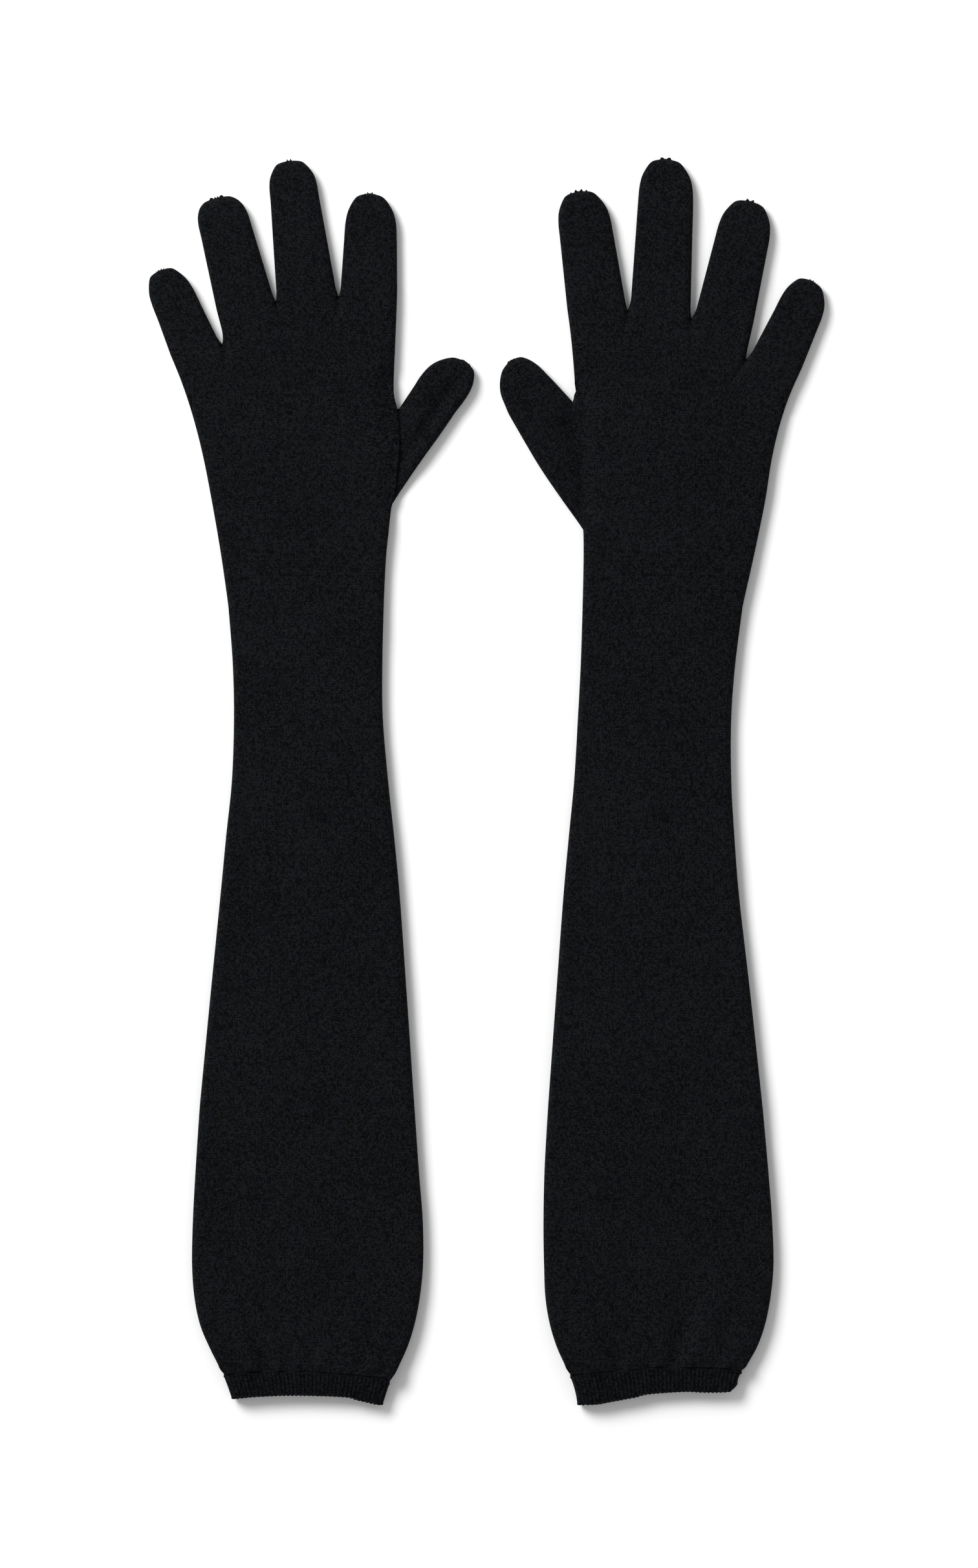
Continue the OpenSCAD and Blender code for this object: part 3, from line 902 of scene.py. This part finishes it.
def cuff_ring(low, high, lines, t, n, ribs, depth, name, material, rises, waist=0.0):
    """A flat tube between two lines (a left and a right point each), with ribs on its two faces."""
    share = np.concatenate([[0, 0.004, 0.012, 0.026, 0.042], np.linspace(0.05, 0.95, n),
                            1 - np.array([0.042, 0.026, 0.012, 0.004, 0])])
    xy, knit = [], []
    width = np.linalg.norm(high[1] - high[0])
    for v in np.linspace(0, 1, lines):
        a = low[0] + (high[0] - low[0]) * v
        b = low[1] + (high[1] - low[1]) * v
        row = a + (b - a) * share[:, None]
        row[:, 0] -= 4 * v * (1 - v) * waist * (2 * share - 1)
        row[:, 1] += (1 - v) * rises[0](share) + v * rises[1](share)
        xy.append(row)
        knit.append(np.stack([(share - 0.5) * ribs * RIB_PITCH, row[:, 1]], 1))
    xy, knit = np.array(xy), np.array(knit)
    d = np.minimum(share, 1 - share) * width
    e = swell(np.repeat(d[None], lines, 0))
    wave = depth * (np.abs(np.cos(np.pi * (share - 0.5) * ribs)) - 0.6)
    wave = wave[None] * e
    top = t / 2 + (t / 2) * e + wave
    bottom = t / 2 - (t / 2 - GROUND) * e - np.minimum(wave, 0.0)
    return tube_grid(name, xy, top, bottom, knit, material)


def make_cuff(g):
    """The ribbed band, the gathering seam, the bound edge and the elastic threads inside."""
    side = g["side"]
    t = top_of(f"{side}_cuff_rib") - SLACK
    ribs = round((g["rib"][1, 0] - g["rib"][0, 0]) / RIB_PITCH)
    rises = rise_of(EDGE_RISE[side]), rise_of(SEAM_RISE[side])
    rib = cuff_ring(g["edge"] + np.array([0, 0.7]), g["rib"] + np.array([0, 0.5]), 14, t, 6 * ribs, ribs,
                    RIB_DEPTH, f"{side}_cuff_ribbing", MATERIALS["rib"], rises, WAIST[side])
    thicken(rib)
    seam = cuff_ring(g["rib"] - np.array([0, 0.4]), g["seam"] + np.array([0, 0.3]), 5, t - 0.7, 6 * ribs,
                     ribs, 0.25, f"{side}_gathering_seam", MATERIALS["seam"], rises[1:] * 2)
    thicken(seam)
    for o, slot, node in ((rib, "rib_knit", "cuff_rib"), (seam, "seam_yarn", "gather_seam"),
                          (bound_edge(g, t, ribs), "rib_knit", "cuff_edge"),
                          (elastic_threads(g, t), "elastic", "cuff_elastic")):
        finish_piece(o, slot, f"{side}_{node}")
        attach(o, f"{side}_upper_arm")


def loop_path(left, right, t, inset, rise, n=220):
    """A closed path round a flat tube, through a left and a right point, inset from its skin."""
    half = np.linalg.norm(right - left) / 2 - inset
    middle = (left + right) / 2
    direction = (right - left) / np.linalg.norm(right - left)
    r = t / 2 - inset
    flat = half - r
    total = 4 * flat + 2 * math.pi * r
    points = []
    for k in range(n):
        d = total * k / n
        if d < 2 * flat:
            c, z = -flat + d, r
        elif d < 2 * flat + math.pi * r:
            a = (d - 2 * flat) / r
            c, z = flat + r * math.sin(a), r * math.cos(a)
        elif d < 4 * flat + math.pi * r:
            c, z = flat - (d - 2 * flat - math.pi * r), -r
        else:
            a = (d - 4 * flat - math.pi * r) / r
            c, z = -flat - r * math.sin(a), -r * math.cos(a)
        x, y = middle + direction * c
        points.append((x, y + float(rise((c / half + 1) / 2)), t / 2 + z))
    return np.array(points)


def thread(name, path, radius, material, closed=False, sides=8, wobble=0.0, pitch=2.0):
    """A round thread along a path, with an optional slight beading."""
    n = len(path)
    ahead = np.roll(path, -1, 0) - np.roll(path, 1, 0)
    if not closed:
        ahead[0], ahead[-1] = path[1] - path[0], path[-1] - path[-2]
    ahead /= np.linalg.norm(ahead, axis=1)[:, None]
    up = np.tile([0.0, 0, 1], (n, 1))
    flat = np.abs(ahead[:, 2]) > 0.9
    up[flat] = (0, 1, 0)
    side = np.cross(ahead, up)
    side /= np.linalg.norm(side, axis=1)[:, None]
    up = np.cross(side, ahead)
    travel = travel_along(path)
    verts, uv, faces = [], [], []
    for k in range(n):
        r = radius * (1 + wobble * math.sin(2 * math.pi * travel[k] / pitch))
        for m in range(sides):
            a = 2 * math.pi * m / sides
            verts.append(path[k] + r * (math.cos(a) * side[k] + math.sin(a) * up[k]))
            uv.append((m / sides, travel[k]))
    last = n if closed else n - 1
    for k in range(last):
        for m in range(sides):
            a, b = k * sides + m, k * sides + (m + 1) % sides
            c, d = ((k + 1) % n) * sides + (m + 1) % sides, ((k + 1) % n) * sides + m
            faces.append((a, b, c, d))
    if not closed:
        faces.append(tuple(range(sides))[::-1])
        faces.append(tuple((n - 1) * sides + m for m in range(sides)))
    return make_object(name, verts, faces, uv, material)


def bound_edge(g, t, ribs):
    """The cast-on edge: a soft cord of stitches, one small scallop to a rib."""
    side = g["side"]
    left, right = g["edge"] + np.array([0, 0.55])
    path = loop_path(left, right, t - 0.2, 0.55, rise_of(EDGE_RISE[side]), 16 * ribs)
    path[:, 2] += 0.13
    travel = travel_along(path)
    path[:, 1] += 0.16 * np.cos(2 * math.pi * travel / RIB_PITCH)
    return thread(f"{side}_bound_edge", path, EDGE_RADIUS, MATERIALS["rib"], True, 10, 0.12, RIB_PITCH)


def elastic_threads(g, t):
    """Two covered elastic threads that run round inside the ribbing."""
    side = g["side"]
    loops = []
    low, high = rise_of(EDGE_RISE[side]), rise_of(SEAM_RISE[side])
    for place in ELASTIC_PLACES:
        left, right = g["rib"] + (g["rib_end"] - g["rib"]) * place
        path = loop_path(left, right, t, 1.75, lambda x, p=place: p * low(x) + (1 - p) * high(x))
        loops.append(thread(f"{side}_elastic_{len(loops)}", path, ELASTIC_RADIUS, MATERIALS["elastic"],
                            True, 8, 0.1, 1.2))
    return join(loops, f"{side}_cuff_elastic_threads")


def join(objects, name):
    with bpy.context.temp_override(active_object=objects[0], object=objects[0],
                                   selected_editable_objects=objects, selected_objects=objects):
        bpy.ops.object.join()
    objects[0].name = name
    objects[0].data.name = name
    return objects[0]


def make_forks(g):
    """Small bars of stitches that close the forks between the fingers."""
    side = g["side"]
    parts = []
    height = g["fingers"][0]["height"]
    for k, p in enumerate(g["forks"]):
        along = fork_direction(g, k)
        base = p - along * 0.9
        t = np.linspace(0, 1, 60)
        z = height * (0.36 + 0.28 * t)
        turn = 2 * math.pi * 5 * t
        off = 0.7 * np.cos(turn)
        deep = 0.35 * np.sin(turn)
        xy = base + np.outer(off, [along[1], -along[0]]) + np.outer(deep, along)
        parts.append(thread(f"{side}_fork_{k}", np.column_stack([xy, z]), 0.3, MATERIALS["seam"], sides=6))
    o = join(parts, f"{side}_fork_stitches")
    finish_piece(o, "seam_yarn", f"{side}_finger_forks")
    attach(o, f"{side}_hand")


def tip_seam(side, f, name, height):
    """The closing seam along the edge of a fingertip: an overcast thread."""
    sides = f["sides"]
    tip = sides[-1][0]
    run = sides[(sides[:, 0] > tip - SEAM_LENGTH)]
    left = at(f, run[:, 0], run[:, 1])
    right = at(f, run[:, 0], run[:, 2])[::-1]
    line = spaced(np.vstack([left, right]), 150)
    middle = at(f, tip - 9.0, side_at(f, tip - 9.0, 1) / 2 + side_at(f, tip - 9.0, 2) / 2)
    inward = middle - line
    inward /= np.linalg.norm(inward, axis=1)[:, None]
    turn = np.linspace(0, 2 * math.pi * 24, len(line))
    xy = line + inward * (SEAM_INSET + 0.06 * np.cos(turn))[:, None]
    z = (height - 0.9) / 2 + 0.35 * np.sin(turn)
    path = np.column_stack([xy, np.broadcast_to(z, len(xy))])
    o = thread(f"{side}_{name}_tip_seam", path, SEAM_RADIUS, MATERIALS["seam"], sides=6)
    finish_piece(o, "seam_yarn", f"{side}_{name}_tip")
    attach(o, f"{side}_{name}_upper")


# ---------------------------------------------------------------- the thumb

def over_thumb(side, below):
    """How far the hand's edge reaches out over the thumb, at a distance below the crotch."""
    line = curve_through(OVER_THUMB[side])
    return np.interp(below, line[:, 0], line[:, 1])


def thumb_outline(g):
    """The thumb's frame, and its left and right sides as curves from the hand's edge to the tip."""
    side = g["side"]
    root = hinge(f"{side}_thumb_root")[0]
    fold, across, along = hinge(f"{side}_thumb_middle")
    upper = cad_points(f"{side}_thumb_upper", f"{side}_thumb_tip")
    rows = closed_tip(stations(upper, fold, across, along))
    tip = rows[-1][0]
    f = {"origin": fold, "across": across, "along": along, "name": "thumb", "fold": 0.0,
         "height": top_of(f"{side}_thumb_upper") - SLACK, "facing": 1.0 if side == "left" else -1.0}
    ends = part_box(f"{side}_thumb_lower")
    edge = ends[0].x / MM if side == "left" else ends[1].x / MM
    low, high = ends[0].y / MM, ends[1].y / MM
    inner = 1 if side == "left" else 2
    outer = 3 - inner
    # the fork side starts just under the hand's edge, at the crotch with the index finger
    crotch = np.array([edge, root[1] + (root[1] - low) + 1.0])
    facing = np.array([f["facing"], 0.0])
    f["crotch"] = crotch + facing * over_thumb(side, 0.0)
    from_s = float((crotch - fold) @ along)
    for row in rows[:-1]:
        far, near = ((row[0] - s0) / (tip - s0) for s0 in (rows[0][0], from_s))
        row[inner] += (2 * inner - 3) * FORK_FULL[side] * math.sin(math.pi * near ** 0.9)
        row[outer] += (2 * outer - 3) * OUTER_FULL[side] * math.sin(math.pi * far)
    start = at(f, rows[0][0], rows[0][inner])
    fork = [f["crotch"], f["crotch"] + (start - f["crotch"]) * 0.55,
            *[at(f, r[0], r[inner]) for r in rows]]
    # the outer side sweeps round from the hand's edge: reached for from the crotch
    sweep = []
    own = at(f, rows[0][0], rows[0][outer]) - crotch
    stop = math.atan2(own[1], own[0] * facing[0])
    for a in np.linspace(-math.pi / 2 + 0.22, stop - 0.1, 4):
        ray = np.array([math.cos(a) * facing[0], math.sin(a)])
        sweep.append(crotch + ray * far_side(f"{side}_thumb_lower", crotch, ray))
    out = [np.array([edge, low]) - facing * 2.2 - (0, 3.6), np.array([edge, low]), *sweep,
           *[at(f, r[0], r[outer]) for r in rows]]
    f["fork"], f["out"] = curve_through(np.array(fork)), curve_through(np.array(out))
    f["edge"], f["low"], f["high"], f["inner"] = edge, low, high, inner
    return f


def make_thumb(g, f):
    """The thumb grows out from under the hand's edge; its root lies beneath the palm."""
    side = g["side"]
    facing = f["facing"]
    # the straight part's rows stand square to the thumb
    tip_s = float((f["fork"][-1] - f["origin"]) @ f["along"])
    first = -7.0

    def parts(curve, n_low, n_up):
        s = (curve - f["origin"]) @ f["along"]
        cut = int(np.argmax(s > first))
        low = spaced(curve[:cut + 1], n_low)
        up_s = first + (tip_s - first) * np.sin(np.linspace(0, 1, n_up) * math.pi / 2)
        grow = np.maximum.accumulate(s[cut:])
        up = np.stack([np.interp(up_s, grow, curve[cut:, k]) for k in (0, 1)], 1)
        up[-1] = curve[-1]
        return np.vstack([low[:-1], up])

    fork, out = parts(f["fork"], 26, 34), parts(f["out"], 26, 34)
    # the root, from inside the hand out to its edge
    n_root = 8
    back = 1 - np.arange(n_root)[:, None] / n_root
    fork = np.vstack([fork[0] + back * [-facing * ROOT_DEPTH, -3.0], fork])
    out = np.vstack([out[0] + back * [-facing * ROOT_DEPTH, 4.0], out])
    left, right = (fork, out) if f["inner"] == 1 else (out, fork)
    share = ((SHARES + 1) / 2)[None, :, None]
    xy = left[:, None] + (right - left)[:, None] * share
    outline = np.vstack([curve_through(left[n_root:], 0.5), curve_through(right[n_root:], 0.5)])
    d = distance_to(xy, outline)
    e = swell(d, 3.2)
    past = (xy[..., 0] - f["edge"]) * facing        # distance out from the hand's edge
    edge_reach = over_thumb(side, f["crotch"][1] - xy[..., 1])
    thickness = f["height"] * (ROOT_SHARE + (1 - ROOT_SHARE) * smoothstep(-0.5, 11.0, past - edge_reach))
    # the root thins out where the hand's underside comes down to the floor again
    thickness = np.maximum(thickness * (1 - smoothstep(*ROOT_THINS, -past)), 1.1)
    s = (xy - f["origin"]) @ f["along"]
    c = (xy - f["origin"]) @ f["across"]
    thickness -= 0.8 * np.clip((s - (tip_s - 12)) / 12, 0, 1) ** 2
    wave = relief(xy, 2 + SIDES.index(side)) * 0.7
    # a soft valley from beside the crotch to the tip
    start, end = f["crotch"] + (7.0 * facing, -17.0), at(f, tip_s - 8.0, 3.6 * facing)
    run = (end - start) / np.linalg.norm(end - start)
    off = (xy - start) @ np.array([run[1], -run[0]])
    length = (xy - start) @ run / np.linalg.norm(end - start)
    valley = VALLEY[side] * bell(off / 3.0) * smoothstep(-0.35, 0.05, length) * (
        1 - smoothstep(0.8, 1.1, length))
    dimples = sum(0.55 * np.exp(-(((c - cc) / 2.0) ** 2 + ((s - (tip_s - ss)) / 2.4) ** 2))
                  for cc, ss in ((-3.2, 6.5), (3.6, 7.5)))
    middle = thickness / 2
    top = middle + middle * e + (wave * smoothstep(0, 6, past) - valley - dimples) * e
    bottom = GROUND + (middle - GROUND) * (1 - e)
    knit = np.stack([c, s], 2)
    cut = int(np.argmin(np.abs(s.mean(1) - (MIDDLE_BEND[0] - 0.5))))
    a, b = f"{side}_thumb_lower", f"{side}_thumb_upper"
    grid = xy, top, bottom, knit
    folding_piece(f"{side}_thumb_piece_lower", a, grid, slice(0, cut + 1), THUMB_WALL)
    folding_piece(f"{side}_thumb_piece_upper", b, grid, slice(cut, None), THUMB_WALL, True)
    sides = np.array([[x[0], min(x[1:]), max(x[1:])] for x in zip(
        (fork - f["origin"]) @ f["along"], (fork - f["origin"]) @ f["across"],
        (out - f["origin"]) @ f["across"])])
    f["sides"] = sides[sides[:, 0] > 0]


def raise_over_thumb(f):
    """The hand's underside and edge lie on the thumb's root."""
    def shape(g, xy, top, bottom):
        facing = f["facing"]
        inside = (f["edge"] - xy[..., 0]) * facing
        y = xy[..., 1]
        low, high = f["low"], f["high"]
        along = smoothstep(low - 12, low + 1, y) * (1 - smoothstep(high + 1, high + 12, y))
        near = along * (1 - smoothstep(*ROOT_THINS, inside))
        lift = 0.3 + (EDGE_LIFT[g["side"]] - 0.3) * (1 - smoothstep(0, 3, inside))
        floor = ROOT_SHARE * f["height"] + lift
        lifted = floor + (bottom - GROUND) * 0.05
        bottom = bottom + (np.maximum(lifted, bottom) - bottom) * near
        # the edge slopes down to the thumb
        soft = floor + (top - floor) * np.clip(inside / 9, 0, 1) ** EDGE_SLOPE[g["side"]]
        top = top + (np.minimum(soft, top) - top) * near
        for j in (0, -1):
            top[:, j] = np.maximum(top[:, j], bottom[:, j])
            bottom[:, j] = top[:, j]
        out = xy.copy()
        reach = over_thumb(g["side"], f["crotch"][1] - y)
        out[..., 0] += facing * reach * (1 - smoothstep(0, 14, inside))
        return out, np.maximum(top, bottom), bottom
    return shape


def make_glove(side):
    g = glove(side)
    outline = outline_points(g)
    thumb = thumb_outline(g)
    at_crotch = make_hand(g, outline, raise_over_thumb(thumb))
    k0 = 0
    for f in g["fingers"]:
        make_finger(g, f, outline, at_crotch[k0:k0 + COLS])
        tip_seam(side, f, f["name"], f["height"])
        k0 += COLS - 1
    make_thumb(g, thumb)
    tip_seam(side, thumb, "thumb", thumb["height"])
    make_sleeve(g, outline)
    make_cuff(g)
    make_forks(g)


# ---------------------------------------------------------------- the stage

def make_stage():
    bpy.ops.mesh.primitive_plane_add(size=12, location=(0, 0, 0))
    floor = bpy.context.object
    floor.name = "white_floor"
    n = Nodes("white_floor")
    n.finish(Base_Color=(0.93, 0.93, 0.93, 1), Roughness=0.9, Specular_IOR_Level=0.1)
    floor.data.materials.append(n.material)


def make_light():
    world = bpy.data.worlds.new("studio")
    bpy.context.scene.world = world
    world.use_nodes = True
    background = world.node_tree.nodes["Background"]
    background.inputs["Color"].default_value = (1.0, 1.0, 1.0, 1)
    background.inputs["Strength"].default_value = WORLD_LIGHT
    add_light("key", "SUN", SUN_LIGHT, SUN_DIRECTION, (0, 0, 0), angle=math.radians(SUN_ANGLE))
    # a soft box beyond the fingertips, so that the sleeves lie in a little less light
    add_light("soft_box", "AREA", BOX_LIGHT, BOX_DIRECTION, BOX_PLACE, size=BOX_SIZE)


def add_light(name, kind, energy, direction, place, **settings):
    data = bpy.data.lights.new(name, kind)
    data.energy = energy
    for key, value in settings.items():
        setattr(data, key, value)
    o = in_scene(name, data)
    o.location = place
    o.rotation_euler = Vector(direction).to_track_quat("-Z", "Y").to_euler()


def make_camera():
    """Straight above, with a long lens, framing the pair as it lies."""
    data = bpy.data.cameras.new("camera")
    data.type = "PERSP"
    data.sensor_fit = "VERTICAL"
    data.sensor_height = 36
    data.lens = data.sensor_height * CAMERA_PLACE[2] / FRAME_HEIGHT
    data.clip_end = 30
    o = in_scene("camera", data)
    o.location = CAMERA_PLACE
    bpy.context.scene.camera = o


for glove_side in SIDES:
    make_glove(glove_side)
make_stage()
make_light()
make_camera()
bpy.context.scene.view_settings.view_transform = "Standard"
